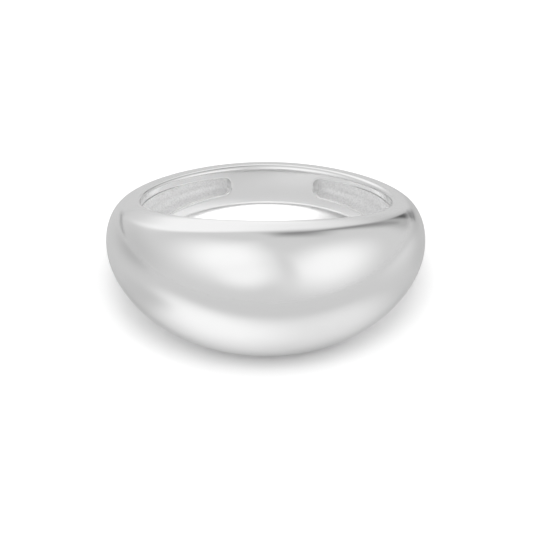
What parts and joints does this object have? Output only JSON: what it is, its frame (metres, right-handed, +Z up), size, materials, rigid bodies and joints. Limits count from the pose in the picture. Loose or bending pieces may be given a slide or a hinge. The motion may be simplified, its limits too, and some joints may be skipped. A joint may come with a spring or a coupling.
{
  "type": "dome ring",
  "caption": "Plain polished silver dome ring: a wide domed front that narrows to a slim band, lightened by a pocket inside, lying on its side.",
  "frame": {"origin": "middle of the ring's footprint on the surface it lies on", "axes": "+Z up from that surface, -Y the side that the dome faces, +X to the right of someone who looks at the dome"},
  "size_m": [0.022, 0.023, 0.0097],
  "materials": {
    "polished_silver": "high polish on cast sterling silver, as cast and matt on the pocket's floor"
  },
  "bodies": {
    "root": {"ring": "polished_silver"}
  },
  "joints": []
}
